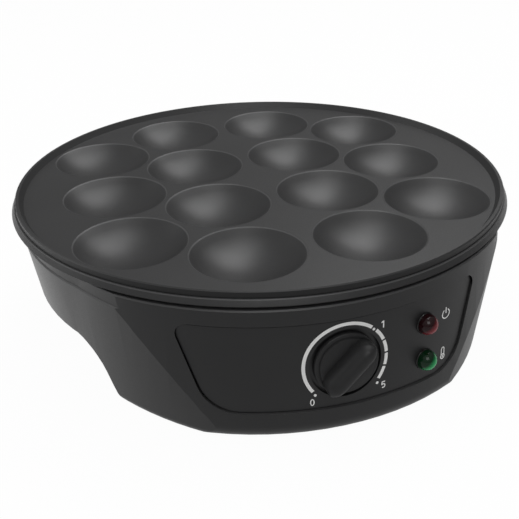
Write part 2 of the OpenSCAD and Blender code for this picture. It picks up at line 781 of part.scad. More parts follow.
module stack_rivet() {
    piece(steel) on_dial() {
        rod_y(0, stack_z, angle_y - 1.2, stack_end + 1.2, rivet_r, 32);
        rod_y(0, stack_z, angle_y - 1.2, angle_y, 3, 32);
        rod_y(0, stack_z, stack_end, stack_end + 1.2, 3, 32);
    }
}

// Spring blade hung from the stack, with a bent solder tab above it
module blade(y, low) {
    difference() {
        translate([-blade_half, y, low]) cube([2 * blade_half, blade_t, blade_top - low]);
        rod_y(0, stack_z, y - 1, y + 2, rivet_r + hole_gap, 32);
    }
}

module adjusting_blade() {
    piece(brass) on_dial() {
        blade(blade_y1, dial_z - 4);
        rod_y(0, dial_z, blade_y1 + blade_t, blade_y2 - 0.2, 1.6, 32);
    }
}

module contact_blade() {
    piece(brass) on_dial() {
        blade(blade_y2, dial_z - 12);
        rod_y(0, dial_z - 9, blade_y2 + blade_t, blade_y2 + blade_t + 1.7, 2, 32);
        translate([blade_half, blade_y2, stack_z - 3]) cube([8, blade_t, 6]);
    }
}

module bimetal_blade() {
    piece([0.7, 0.68, 0.6]) on_dial() {
        blade(blade_y3, dial_z - 12);
        rod_y(0, dial_z - 9, blade_y3 - 1.7, blade_y3, 2, 32);
        translate([-blade_half - 8, blade_y3, stack_z - 3]) cube([8, blade_t, 6]);
    }
}

// Lens with a domed end and a hollow stem that passes through the panel
module lens(z) {
    seat = fit_gap + 0.05;
    on_front(lamp_angle, z)
        difference() {
            union() {
                intersection() {
                    translate([0, 0, lens_neck]) sphere(r = lens_r);
                    translate([0, 0, lens_neck]) cylinder(h = lens_r + 1, r = lens_r + 1);
                }
                translate([0, 0, seat]) cylinder(h = lens_neck - seat, r = lens_r);
                translate([0, 0, -stem_len]) cylinder(h = stem_len + 1, r = stem_r, $fn = 48);
            }
            translate([0, 0, -stem_len - 1]) cylinder(h = stem_len + 2, r = bulb_r + 0.3, $fn = 48);
        }
}

module red_lens() {
    piece([0.55, 0.05, 0.05]) lens(base_z + red_rise);
}

module green_lens() {
    piece([0.1, 0.6, 0.15]) lens(base_z + green_rise);
}

module lamp_bezels() {
    seat = fit_gap + 0.05;
    r_in = lens_r + fit_gap;
    r_out = lens_r + bezel_w;
    piece([0.05, 0.05, 0.05])
    for (z = lamp_heights)
        on_front(lamp_angle, z)
            difference() {
                translate([0, 0, seat]) cylinder(h = 0.6, r1 = r_out, r2 = r_out - 0.3, $fn = 64);
                translate([0, 0, -1]) cylinder(h = 4, r = r_in, $fn = 64);
            }
}

module neon_lamps() {
    piece([0.9, 0.75, 0.6])
    for (z = lamp_heights)
        on_front(lamp_angle, z) translate([0, 0, -stem_len - 5])
            cylinder(h = stem_len + 1, r = bulb_r, $fn = 48);
}

module lamp_holders() {
    back = -stem_len - 2;
    piece([0.85, 0.84, 0.8])
    for (z = lamp_heights)
        on_front(lamp_angle, z)
            difference() {
                translate([0, 0, back]) cylinder(h = -back - back_in - 0.8, r = stem_r + 2.2, $fn = 48);
                translate([0, 0, -stem_len]) cylinder(h = stem_len, r = stem_r + fit_gap, $fn = 48);
                translate([0, 0, back - 1]) cylinder(h = 8, r = bulb_r + fit_gap, $fn = 48);
            }
}

module thermal_fuse() {
    piece([0.88, 0.88, 0.86])
    translate([0, 12, boss_z - 2.6]) rotate([0, 90, 0])
        difference() {
            translate([0, 0, -13]) cylinder(h = 26, r = 2.5, $fn = 32);
            for (k = [-1, 1])
                translate([0, 0, k * 12.5 - 1]) cylinder(h = 2, r = 1, $fn = 32);
        }
}

module fuse_clip() {
    r = 2.5 + fit_gap;
    t = 0.7;
    piece(steel)
    difference() {
        union() {
            translate([-5, -5.5, boss_z - t]) cube([10, 16.2 + 1, t]);
            translate([-5, 12, boss_z - 2.6]) rotate([0, 90, 0]) cylinder(h = 10, r = r + t, $fn = 48);
        }
        translate([-6, 12, boss_z - 2.6]) rotate([0, 90, 0]) cylinder(h = 12, r = r, $fn = 48);
        translate([0, 0, boss_z - 4]) cylinder(h = 6, r = screw_d / 2 + hole_gap, $fn = 32);
        translate([-6, 12, boss_z - 0.6]) cube([12, 6, 4]);
        translate([-6, 5, boss_z]) cube([12, 12, 4]);
    }
}

module fuse_screw() {
    piece(steel) translate([0, 0, boss_z - 0.7]) screw_up(screw_d, 7.5);
}

module terminal_block() {
    ways = [-14, 0, 14];
    piece(ceramic)
    difference() {
        translate([-21, block_y - 9, cover_top]) cube([42, 18, 16]);
        for (x = ways) {
            rod_y(x, cover_top + 6, block_y - 10, block_y + 10, 2.4, 32);
            for (k = [-1, 1])
                translate([x, block_y + k * 5, cover_top + 6]) cylinder(h = 12, r = 2.1, $fn = 32);
        }
        for (x = [-7, 7])
            translate([x, block_y, cover_top + 13]) cube([1.6, 20, 20], center = true);
    }
}

module terminal_screws() {
    piece(brass)
    for (x = [-14, 0, 14], k = [-1, 1])
        translate([x, block_y + k * 5, cover_top + 8.2])
            difference() {
                cylinder(h = 6, r = 2, $fn = 32);
                translate([-3, -0.35, 5]) cube([6, 0.7, 3]);
            }
}

module cord_gland() {
    piece([0.1, 0.1, 0.1])
    difference() {
        union() {
            rod_y(0, inlet_z, inlet_face, inlet_face + 2.2, 9.5, 64);
            rod_y(0, inlet_z, inlet_in - 2.2, inlet_face + 1, inlet_neck, 64);
            rod_y(0, inlet_z, inlet_in - 2.2, inlet_in, inlet_neck + 1.4, 64);
        }
        rod_y(0, inlet_z, inlet_in - 12, inlet_face + 6, inlet_d / 2, 64);
    }
}

module bottom_cover() {
    piece([0.13, 0.13, 0.135])
    difference() {
        room(open_gap, cover_z, cover_top);
        grips(grip_wall + open_gap);
        for (p = bolt_spots)
            translate([p[0], p[1], 0]) cylinder(h = 20, r = bolt_d / 2 + hole_gap, $fn = 32);
        for (p = screw_spots)
            translate([p[0], p[1], 0]) cylinder(h = 20, r = screw_d / 2 + hole_gap, $fn = 32);
        for (p = foot_spots)
            translate([p[0], p[1], 0]) cylinder(h = 20, r = 3 + fit_gap, $fn = 32);
        for (x = [-5:5], sy = [-1, 1])
            translate([x * 9 - 1.5, sy * 56 - 12, 0]) cube([3, 24, 20]);
    }
}

module cover_screws() {
    piece(steel)
    for (p = screw_spots)
        translate([p[0], p[1], cover_z]) screw_up(screw_d, 13);
}

module rubber_feet() {
    piece([0.16, 0.16, 0.16])
    for (p = foot_spots)
        translate([p[0], p[1], 0]) {
            cylinder(h = cover_z, r1 = foot_d / 2 - 1, r2 = foot_d / 2, $fn = 64);
            cylinder(h = cover_top + 0.1, r = 3, $fn = 32);
            translate([0, 0, cover_top]) cylinder(h = 3.2, r1 = 4.2, r2 = 2.4, $fn = 32);
        }
}

module lead_live() {
    x = blade_half + 6;
    y = blade_y2 + blade_t + lead_r + 0.2;
    piece([0.45, 0.25, 0.12])
    wire([[-14, block_y - 9.6, cover_top + 6], [-40, 20, cover_top + 6], [40, -60, stack_z - 40],
        dial_point([x, y, stack_z - 2])]);
}

module lead_switched() {
    x = -blade_half - 6;
    y = blade_y3 + blade_t + lead_r + 0.2;
    piece([0.1, 0.1, 0.1])
    wire([dial_point([x, y, stack_z - 2]), [-60, -40, stack_z - 36], [-leg_x, leg_y, leg_z - 22],
        [-leg_x, leg_y, leg_z - 0.2]]);
}

module lead_neutral() {
    piece([0.15, 0.25, 0.55])
    wire([[14, block_y - 9.6, cover_top + 6], [20, 70, cover_top + 8], [leg_x, leg_y, leg_z - 22],
        [leg_x, leg_y, leg_z - 0.2]]);
}

baking_plate();
plate_gasket();
heating_element();
element_beads();
element_tabs();
heat_shield();
shield_spacers();
plate_posts();
plate_bolts();
housing();
control_panel();
panel_nuts();
control_knob();
thermostat_shaft();
shaft_clip();
thermostat_bush();
bush_nut();
thermostat_bracket();
bracket_screw();
ceramic_stack();
stack_rivet();
adjusting_blade();
contact_blade();
bimetal_blade();
red_lens();
green_lens();
lamp_bezels();
neon_lamps();
lamp_holders();
thermal_fuse();
fuse_clip();
fuse_screw();
terminal_block();
terminal_screws();
cord_gland();
bottom_cover();
cover_screws();
rubber_feet();
lead_live();
lead_switched();
lead_neutral();
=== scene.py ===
"""Dresses the mini pancake maker: materials, knob, printed dial marks, floor, light and camera."""

import json
import math

import bmesh
import bpy
from mathutils import Matrix, Quaternion, Vector
from mathutils.bvhtree import BVHTree

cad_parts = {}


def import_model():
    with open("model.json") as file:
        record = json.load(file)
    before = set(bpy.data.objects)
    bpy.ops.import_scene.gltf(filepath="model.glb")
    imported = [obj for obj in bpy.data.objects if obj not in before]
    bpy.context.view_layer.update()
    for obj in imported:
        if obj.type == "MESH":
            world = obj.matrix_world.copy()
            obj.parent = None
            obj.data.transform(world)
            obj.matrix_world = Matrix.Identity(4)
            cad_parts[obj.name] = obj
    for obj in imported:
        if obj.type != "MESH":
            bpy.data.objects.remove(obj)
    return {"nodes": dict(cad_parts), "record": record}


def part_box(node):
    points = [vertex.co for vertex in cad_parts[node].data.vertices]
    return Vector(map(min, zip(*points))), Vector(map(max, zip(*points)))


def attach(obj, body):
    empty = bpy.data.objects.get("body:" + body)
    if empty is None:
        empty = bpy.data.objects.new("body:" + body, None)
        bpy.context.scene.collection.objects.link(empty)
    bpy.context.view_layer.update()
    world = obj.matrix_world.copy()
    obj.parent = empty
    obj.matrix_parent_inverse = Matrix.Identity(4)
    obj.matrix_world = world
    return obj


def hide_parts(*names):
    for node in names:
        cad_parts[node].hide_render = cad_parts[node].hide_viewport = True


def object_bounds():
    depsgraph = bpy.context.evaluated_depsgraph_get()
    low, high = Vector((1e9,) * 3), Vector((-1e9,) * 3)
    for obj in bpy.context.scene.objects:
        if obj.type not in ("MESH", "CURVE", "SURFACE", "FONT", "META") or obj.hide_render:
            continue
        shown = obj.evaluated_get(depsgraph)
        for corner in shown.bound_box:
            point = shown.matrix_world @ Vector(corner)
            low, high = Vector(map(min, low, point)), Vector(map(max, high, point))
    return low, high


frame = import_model()
cad_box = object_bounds()
nodes = frame["nodes"]

MM = 0.001


def tree_of(obj):
    """A search tree of an object's mesh, for casting rays onto it."""
    mesh = obj.data
    return BVHTree.FromPolygons([v.co.copy() for v in mesh.vertices],
                                [tuple(p.vertices) for p in mesh.polygons])


def add(name, data):
    """A new object in the scene."""
    obj = bpy.data.objects.new(name, data)
    bpy.context.scene.collection.objects.link(obj)
    return obj


# Places taken from the frame
dial = next(j for j in frame["record"]["behaviour"]["joints"] if j["name"] == "dial_turn")
plate_low, plate_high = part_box("baking_plate")
AXIS_Y = (plate_low[1] + plate_high[1]) / 2
PLATE_TOP = plate_high[2]
ABOVE_PLATE = Vector((0, AXIS_Y, 1))
COOK_Z = tree_of(nodes["baking_plate"]).ray_cast(ABOVE_PLATE, Vector((0, 0, -1)))[0].z


# Shader building blocks, for a material or the world

NOISE_LOW, NOISE_HIGH = 0.3, 0.7
MAP_SOCKETS = ("From Min", "From Max", "To Min", "To Max")


def source(mat, kind, output):
    """An output of a new input node, such as a texture coordinate."""
    return mat.node_tree.nodes.new(kind).outputs[output]


def maths(mat, operation, first, second):
    """The result of a math node; the second value is a socket or a number."""
    tree = mat.node_tree
    node = tree.nodes.new("ShaderNodeMath")
    node.operation = operation
    tree.links.new(first, node.inputs[0])
    if isinstance(second, bpy.types.NodeSocket):
        tree.links.new(second, node.inputs[1])
    else:
        node.inputs[1].default_value = second
    return node.outputs["Value"]


def vector_maths(mat, operation, first, second, output):
    """The result of a vector math node with a fixed second vector."""
    node = mat.node_tree.nodes.new("ShaderNodeVectorMath")
    node.operation = operation
    node.inputs[1].default_value = second
    mat.node_tree.links.new(first, node.inputs[0])
    return node.outputs[output]


def map_range(mat, value, *limits):
    """A value carried from one range to another; limits are both ends of each range."""
    node = mat.node_tree.nodes.new("ShaderNodeMapRange")
    for socket, number in zip(MAP_SOCKETS, limits):
        node.inputs[socket].default_value = number
    mat.node_tree.links.new(value, node.inputs["Value"])
    return node.outputs["Result"]


def noise(mat, scale, detail):
    """A noise texture in the part's frame, so its scale is per metre."""
    tex = mat.node_tree.nodes.new("ShaderNodeTexNoise")
    tex.inputs["Scale"].default_value = scale
    tex.inputs["Detail"].default_value = detail
    place = source(mat, "ShaderNodeTexCoord", "Object")
    mat.node_tree.links.new(place, tex.inputs["Vector"])
    return tex.outputs["Fac"]


def drive(mat, value, socket):
    """Links a value to a socket of the material's shader."""
    mat.node_tree.links.new(value, mat.node_tree.nodes["Principled BSDF"].inputs[socket])


def tone(mat, value, dark, light):
    """Takes the base colour from dark to light over the range that most noise has."""
    ramp = mat.node_tree.nodes.new("ShaderNodeValToRGB")
    ends = ((NOISE_LOW, dark), (NOISE_HIGH, light))
    for element, (position, colour) in zip(ramp.color_ramp.elements, ends):
        element.position = position
        element.color = (*colour, 1.0)
    mat.node_tree.links.new(value, ramp.inputs["Fac"])
    drive(mat, ramp.outputs["Color"], "Base Color")


def tint(mat, mask, colour):
    """Changes the base colour where the mask is 1."""
    tree = mat.node_tree
    below = tree.nodes["Principled BSDF"].inputs["Base Color"].links[0].from_socket
    mix = tree.nodes.new("ShaderNodeMix")
    mix.data_type = "RGBA"
    colours = [socket for socket in mix.inputs if socket.type == "RGBA"]
    colours[1].default_value = (*colour, 1.0)
    tree.links.new(below, colours[0])
    tree.links.new(mask, mix.inputs["Factor"])
    drive(mat, next(socket for socket in mix.outputs if socket.type == "RGBA"), "Base Color")


# Masks and the values that they are made from

def every(mat, mask, *others):
    """1 where all the masks are 1."""
    for other in others:
        mask = maths(mat, "MULTIPLY", mask, other)
    return mask


def upward(mat, kind, output):
    """The Z part of a vector that an input node gives."""
    parts = mat.node_tree.nodes.new("ShaderNodeSeparateXYZ")
    mat.node_tree.links.new(source(mat, kind, output), parts.inputs["Vector"])
    return parts.outputs["Z"]


def facing_up(mat):
    """How far a face looks up, before any bump: 1 is level and 0 upright."""
    return upward(mat, "ShaderNodeNewGeometry", "True Normal")


def from_axis(mat):
    """Distance from the plate's axis."""
    place = source(mat, "ShaderNodeTexCoord", "Object")
    flat = vector_maths(mat, "MULTIPLY", place, (1.0, 1.0, 0.0), "Vector")
    return vector_maths(mat, "DISTANCE", flat, (0.0, AXIS_Y, 0.0), "Value")


# Materials

CLOUD_SCALE, CLOUD_DETAIL, GRAIN_DETAIL = 14.0, 3.0, 2.0
ROUGH_SPREAD = 0.05
BUMP_STRENGTH = 0.35
LENS_ROUGH, LENS_IOR, LENS_SHINE = 0.16, 1.49, 0.32
# Painted shade and glow on the lenses: the direction in which the painted glow grows, and where the
# painted shade ends, as a share of half the lens's height
LENS_GLOW_TOWARD = Vector((0.70, 0.0, -0.72))
LENS_SHADE_END = -0.55


def material(name, base, roughness, **sockets):
    """A Principled material; sockets are given by name with underscores for spaces."""
    mat = bpy.data.materials.new(name)
    mat.use_nodes = True
    shader = mat.node_tree.nodes["Principled BSDF"]
    shader.inputs["Base Color"].default_value = (*base, 1.0)
    shader.inputs["Roughness"].default_value = roughness
    for key, value in sockets.items():
        shader.inputs[key.replace("_", " ")].default_value = value
    return mat


def surface(name, base, rough, spread=0.12, grain=1800.0, depth=0.04 * MM, **sockets):
    """Cloudy colour, uneven roughness and a fine moulded or sprayed grain in the normal."""
    mat = material(name, base, rough, **sockets)
    cloud = noise(mat, CLOUD_SCALE, CLOUD_DETAIL)
    fine = noise(mat, grain, GRAIN_DETAIL)
    tone(mat, cloud, [c * (1 - spread) for c in base], [c * (1 + spread) for c in base])
    uneven = (rough - ROUGH_SPREAD, rough + ROUGH_SPREAD)
    drive(mat, map_range(mat, fine, NOISE_LOW, NOISE_HIGH, *uneven), "Roughness")
    bump = mat.node_tree.nodes.new("ShaderNodeBump")
    bump.inputs["Strength"].default_value = BUMP_STRENGTH
    bump.inputs["Distance"].default_value = depth
    mat.node_tree.links.new(fine, bump.inputs["Height"])
    drive(mat, bump.outputs["Normal"], "Normal")
    return mat


def lens(node, dark, light):
    """Coloured plastic whose base colour runs from painted shade at its upper left to a painted
    glow at its lower right.
    """
    mat = material(node, light, LENS_ROUGH, IOR=LENS_IOR, Specular_IOR_Level=LENS_SHINE)
    low, high = (Vector(corner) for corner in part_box(node))
    place = source(mat, "ShaderNodeTexCoord", "Object")
    across = vector_maths(mat, "SUBTRACT", place, (low + high) / 2, "Vector")
    along = vector_maths(mat, "DOT_PRODUCT", across, LENS_GLOW_TOWARD, "Value")
    reach = (high.z - low.z) / 2
    tone(mat, map_range(mat, along, LENS_SHADE_END * reach, reach, 0.0, 1.0), dark, light)
    return mat


MATERIALS = {
    "coated_casting": surface("coat", (0.022, 0.022, 0.0225), 0.42, grain=1500.0, depth=0.05 * MM),
    "housing_plastic": surface("housing_black", (0.011, 0.011, 0.0115), 0.36),
    "panel_plastic": surface("panel_black", (0.010, 0.010, 0.0105), 0.40),
    "knob_plastic": surface("knob_black", (0.020, 0.020, 0.0205), 0.40, depth=0.015 * MM,
                            Specular_IOR_Level=0.28),
    "bezel_plastic": surface("bezel_black", (0.006, 0.006, 0.006), 0.25, depth=0.01 * MM),
    # Each lens's first colour is painted shade and its second carries a painted glow
    "red_lens": lens("red_lens", (0.014, 0.002, 0.003), (0.20, 0.014, 0.022)),
    "green_lens": lens("green_lens", (0.002, 0.020, 0.006), (0.005, 0.36, 0.10)),
    "steel": surface("steel", (0.55, 0.55, 0.56), 0.32, Metallic=1.0),
    "heater_tube": surface("heater_tube", (0.16, 0.15, 0.145), 0.5, Metallic=0.7),
    "aluminised_sheet": surface("sheet", (0.6, 0.6, 0.61), 0.38, Metallic=1.0),
    "brass": surface("brass", (0.55, 0.39, 0.16), 0.35, Metallic=1.0),
    "ceramic": surface("ceramic", (0.72, 0.69, 0.62), 0.6),
    "bulb_glass": surface("bulb_glass", (0.9, 0.85, 0.8), 0.06, Transmission_Weight=0.8),
    "holder_plastic": surface("holder", (0.65, 0.64, 0.6), 0.5),
    "rubber": surface("rubber", (0.02, 0.02, 0.02), 0.7),
    "brown_lead": surface("brown_lead", (0.16, 0.07, 0.03), 0.5),
    "black_lead": surface("black_lead", (0.015, 0.015, 0.015), 0.5),
    "blue_lead": surface("blue_lead", (0.03, 0.06, 0.25), 0.5),
}
PRINT = surface("print_grey", (0.80, 0.80, 0.79), 0.55, spread=0.06, depth=0.01 * MM)

# Painted highlights as thin light lines on the cup edges and the rim's ledges, and painted shade
# with less shine on the rim walls
PAINTED_EDGE_HIGHLIGHT = (0.065, 0.065, 0.066)
PAINTED_WALL_SHADE = (0.010, 0.010, 0.0103)
WALL_SHINE = (0.5, 0.36)
EDGE_BAND = (0.5 * MM, 0.05 * MM)
RIM_R = 146.8 * MM
LEDGE_DROP = 1.0 * MM
LEDGE_TILT, WALL_TILT = 0.5, 0.35

coat = MATERIALS["coated_casting"]
height = upward(coat, "ShaderNodeTexCoord", "Object")
radius = from_axis(coat)
tilt = facing_up(coat)
on_rim = maths(coat, "GREATER_THAN", radius, RIM_R)
# Painted highlight: a light line on the chamfer round each cup
tint(coat, every(coat,
                 maths(coat, "GREATER_THAN", height, COOK_Z - EDGE_BAND[0]),
                 maths(coat, "LESS_THAN", height, COOK_Z - EDGE_BAND[1]),
                 maths(coat, "LESS_THAN", radius, RIM_R)), PAINTED_EDGE_HIGHLIGHT)
# Painted highlight on the rim's upward-facing ledges
tint(coat, every(coat,
                 maths(coat, "GREATER_THAN", tilt, LEDGE_TILT),
                 maths(coat, "LESS_THAN", height, PLATE_TOP - LEDGE_DROP),
                 on_rim), PAINTED_EDGE_HIGHLIGHT)
# Painted shade on the rim's upright walls
walls = every(coat, maths(coat, "LESS_THAN", tilt, WALL_TILT), on_rim)
tint(coat, walls, PAINTED_WALL_SHADE)
drive(coat, map_range(coat, walls, 0.0, 1.0, *WALL_SHINE), "Specular IOR Level")

# Painted highlight: the housing lighter wherever its faces and upper edges look upward
PAINTED_SHELL_HIGHLIGHT = (0.06, 0.06, 0.061)
SHELL_TILT = 0.25
shell = MATERIALS["housing_plastic"]
tint(shell, maths(shell, "GREATER_THAN", facing_up(shell), SHELL_TILT), PAINTED_SHELL_HIGHLIGHT)

for part in frame["record"]["subparts"]:
    piece = nodes[part["node"]]
    piece.data.materials.clear()
    piece.data.materials.append(MATERIALS[part["material_slot"]])


# Smooth shading and soft edges on the visible mouldings

JOIN_GAP = 0.002 * MM
BEVEL_STEPS, BEVEL_ANGLE = 2, 32.0
PLAIN_CREASE, HOUSING_CREASE = 24.0, 11.8


def smoothing(angle):
    """A node group that joins the facets and shades them smooth across edges below the angle."""
    group = bpy.data.node_groups.new("smooth_facets", "GeometryNodeTree")
    for way in ("INPUT", "OUTPUT"):
        group.interface.new_socket("Geometry", in_out=way, socket_type="NodeSocketGeometry")
    start = group.nodes.new("NodeGroupInput")
    end = group.nodes.new("NodeGroupOutput")
    merge = group.nodes.new("GeometryNodeMergeByDistance")
    merge.inputs["Distance"].default_value = JOIN_GAP
    plain = group.nodes.new("GeometryNodeRemoveAttribute")
    plain.inputs["Name"].default_value = "custom_normal"
    faces = group.nodes.new("GeometryNodeSetShadeSmooth")
    faces.domain = "FACE"
    edges = group.nodes.new("GeometryNodeSetShadeSmooth")
    edges.domain = "EDGE"
    edges.inputs["Shade Smooth"].default_value = False
    bend = group.nodes.new("GeometryNodeInputMeshEdgeAngle")
    sharp = group.nodes.new("FunctionNodeCompare")
    sharp.operation = "GREATER_THAN"
    sharp.inputs["B"].default_value = math.radians(angle)
    group.links.new(bend.outputs["Unsigned Angle"], sharp.inputs["A"])
    group.links.new(sharp.outputs["Result"], edges.inputs["Selection"])
    chain = [start, merge, plain, faces, edges, end]
    for a, b in zip(chain, chain[1:]):
        group.links.new(a.outputs["Geometry"], b.inputs["Geometry"])
    return group


def soften(node, width, group):
    """Smooths a node's facets and eases its edges with modifiers, which leave its mesh alone."""
    modifiers = nodes[node].modifiers
    modifiers.new("smooth", "NODES").node_group = group
    bevel = modifiers.new("bevel", "BEVEL")
    bevel.width = width
    bevel.segments = BEVEL_STEPS
    bevel.limit_method = "ANGLE"
    bevel.angle_limit = math.radians(BEVEL_ANGLE)
    bevel.miter_outer = "MITER_ARC"
    modifiers.new("weighted", "WEIGHTED_NORMAL").keep_sharp = True


PLAIN = smoothing(PLAIN_CREASE)
soften("baking_plate", 0.45 * MM, PLAIN)
soften("housing", 0.5 * MM, smoothing(HOUSING_CREASE))
soften("control_panel", 0.4 * MM, PLAIN)
soften("lamp_bezels", 0.12 * MM, PLAIN)


# Knob with a rounded grip bar, in place of the plainer solid, in millimetres from its seat

KNOB_R, KNOB_H = 17.0, 13.5
SKIRT_H, SKIRT_EASE, SKIRT_NICK = 2.5, 0.6, 0.2
FACE_R, FACE_H, FACE_TAPER, FACE_EASE, FACE_NICK = 14.6, 3.8, 0.2, 0.5, 0.15
FOOT_EASE = 0.4
HUB_R, HUB_H = 6.0, 6.5
BORE_TOP, BORE_GAP = 3.0, 0.05
BAR_HALF, BAR_END, BAR_ROUND, BAR_SUNK = 6.0, 16.6, 8.0, 3.4
BAR_POWER = 2.0 / 2.3
END_POWER, END_DROP, DROP_POWER = 2.4, 0.30, 3
TURN_STEPS, BAR_STEPS, ARCH_STEPS = 96, 48, 20
CREST_DEPTH = 0.5 * MM
KNOB_CREASE = 40.0


def knob_place():
    """The solid knob's seat, and its directions along the bar, across it and outward."""
    out = -Vector(dial["axis"])
    hub = Vector(dial["pos_m"])
    solid = [v.co.copy() for v in nodes["control_knob"].data.vertices]
    top = max((v - hub).dot(out) for v in solid)
    crest = [v for v in solid if (v - hub).dot(out) > top - CREST_DEPTH]
    upper = [v for v in crest if v.z > hub.z]
    lower = [v for v in crest if v.z < hub.z]
    along = sum(upper, Vector()) / len(upper) - sum(lower, Vector()) / len(lower)
    along = (along - out * along.dot(out)).normalized()
    return hub + out * (top - KNOB_H * MM), along, out.cross(along), out


def knob_profile():
    """Radius and height of the turned body, from the bore's top round to the face."""
    low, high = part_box("thermostat_shaft")
    bore = (high[0] - low[0]) / 2 / MM + BORE_GAP
    return [(bore, BORE_TOP), (bore, -HUB_H), (HUB_R, -HUB_H), (HUB_R, 0),
            (KNOB_R - FOOT_EASE, 0), (KNOB_R, FOOT_EASE), (KNOB_R, SKIRT_H - SKIRT_EASE),
            (KNOB_R - SKIRT_NICK, SKIRT_H - SKIRT_NICK), (KNOB_R - SKIRT_EASE, SKIRT_H),
            (FACE_R + FACE_TAPER, SKIRT_H), (FACE_R, FACE_H - FACE_EASE),
            (FACE_R - FACE_NICK, FACE_H - FACE_NICK), (FACE_R - FACE_EASE, FACE_H)]


def bar_arch(step):
    """Points of one arch over the bar; towards the ends the arches get narrower and lower."""
    reach = -math.cos(math.pi * step / BAR_STEPS) * BAR_END
    past = max(0.0, (abs(reach) - (BAR_END - BAR_ROUND)) / BAR_ROUND)
    half = BAR_HALF * math.sqrt(1 - past ** END_POWER)
    rise = (KNOB_H - BAR_SUNK) * (1 - END_DROP * past ** DROP_POWER)
    points = []
    for k in range(ARCH_STEPS + 1):
        a = math.pi * k / ARCH_STEPS
        side = math.copysign(abs(math.cos(a)) ** BAR_POWER, math.cos(a))
        points.append((reach, half * side, BAR_SUNK + rise * math.sin(a) ** BAR_POWER))
    return points


def knob():
    """A turned body with a bore for the shaft, and an arched bar whose ends close in a round."""
    seat, along, across, out = knob_place()
    bm = bmesh.new()

    def vertex(a, b, h):
        return bm.verts.new(seat + (along * a + across * b + out * h) * MM)

    def skin(loops):
        """Closed loops joined side by side, with a cap at either end."""
        for one, two in zip(loops, loops[1:]):
            for k in range(len(one)):
                bm.faces.new((one[k - 1], one[k], two[k], two[k - 1]))
        bm.faces.new(loops[0])
        bm.faces.new(loops[-1])

    turns = [2 * math.pi * k / TURN_STEPS for k in range(TURN_STEPS)]
    skin([[vertex(r * math.cos(a), r * math.sin(a), h) for a in turns] for r, h in knob_profile()])
    skin([[vertex(*point) for point in bar_arch(i)] for i in range(1, BAR_STEPS)])
    bmesh.ops.recalc_face_normals(bm, faces=bm.faces)
    for face in bm.faces:
        face.smooth = True
    mesh = bpy.data.meshes.new("grip_knob")
    bm.to_mesh(mesh)
    bm.free()
    mesh.set_sharp_from_angle(angle=math.radians(KNOB_CREASE))
    obj = add("grip_knob", mesh)
    obj.data.materials.append(MATERIALS["knob_plastic"])
    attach(obj, "dial")
    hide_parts("control_knob")


knob()


# Printed marks, laid on the panel by casting each point straight back onto it

DIAL_X, _, DIAL_Z = dial["pos_m"]
INK_LIFT, INK_THICK = 0.05 * MM, 0.06 * MM
RAY_RUN = 0.1
BEFORE_PANEL = cad_box[0][1] - RAY_RUN
KEY_DIGITS = 4
panel_tree = tree_of(nodes["control_panel"])


def on_panel(x, z):
    """The panel's face at x and z, in metres from the dial's axis, lifted by the ink."""
    start = Vector((DIAL_X + x, BEFORE_PANEL, DIAL_Z + z))
    hit, normal, _, _ = panel_tree.ray_cast(start, Vector((0, 1, 0)))
    if normal.y > 0:
        normal = -normal
    return hit + normal * INK_LIFT


def printed(name, quads):
    """A thin printed piece from quads of (x, z) points in millimetres round the dial's axis."""
    bm = bmesh.new()
    made = {}

    def vertex(p):
        key = (round(p[0], KEY_DIGITS), round(p[1], KEY_DIGITS))
        if key not in made:
            made[key] = bm.verts.new(on_panel(p[0] * MM, p[1] * MM))
        return made[key]

    for quad in quads:
        bm.faces.new([vertex(p) for p in quad])
    bmesh.ops.recalc_face_normals(bm, faces=bm.faces)
    bm.normal_update()
    if sum(f.normal.y for f in bm.faces) > 0:
        bmesh.ops.reverse_faces(bm, faces=bm.faces)
    mesh = bpy.data.meshes.new(name)
    bm.to_mesh(mesh)
    bm.free()
    obj = add(name, mesh)
    obj.data.materials.append(PRINT)
    thick = obj.modifiers.new("ink", "SOLIDIFY")
    thick.thickness = INK_THICK
    thick.offset = 1.0
    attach(obj, "base")


def moved(point, by):
    """A point shifted by an offset."""
    return point[0] + by[0], point[1] + by[1]


def polar(radius, clock):
    """A point at a clock angle in degrees, measured clockwise from straight up."""
    a = math.radians(clock)
    return radius * math.sin(a), radius * math.cos(a)


def ring_quads(r_in, r_out, start, end, step=3.0, centre=(0.0, 0.0)):
    """A ring or part of one between two clock angles."""
    count = max(1, math.ceil(abs(end - start) / step))
    angles = [start + (end - start) * i / count for i in range(count + 1)]
    inner = [moved(polar(r_in, a), centre) for a in angles]
    outer = [moved(polar(r_out, a), centre) for a in angles]
    return [[inner[i], outer[i], outer[i + 1], inner[i + 1]] for i in range(count)]


def bar_quads(a, b, width):
    """A straight stroke from a to b."""
    dx, dz = b[0] - a[0], b[1] - a[1]
    long = math.hypot(dx, dz)
    half = (-dz / long * width / 2, dx / long * width / 2)
    back = (-half[0], -half[1])
    return [[moved(a, half), moved(b, half), moved(b, back), moved(a, back)]]


def disc_quads(centre, radius, steps=12):
    """A round dot: a fan of quads, each from the centre over two steps of the edge."""
    rim = [moved(polar(radius, 360 * i / steps), centre) for i in range(steps)]
    return [[rim[i], rim[i + 1], rim[(i + 2) % steps], centre] for i in range(0, steps, 2)]


def oval_quads(centre, half_w, half_h, stroke, steps=24):
    """An upright oval stroke."""
    turns = [2 * math.pi * i / steps for i in range(steps + 1)]

    def edge(inset):
        return [moved(((half_w - inset) * math.sin(a), (half_h - inset) * math.cos(a)), centre)
                for a in turns]

    outer, inner = edge(0.0), edge(stroke)
    return [[inner[i], outer[i], outer[i + 1], inner[i + 1]] for i in range(steps)]


def strokes(centre, lines):
    """Several straight strokes, each a start, an end and a width, placed from a centre."""
    quads = []
    for a, b, width in lines:
        quads += bar_quads(moved(a, centre), moved(b, centre), width)
    return quads


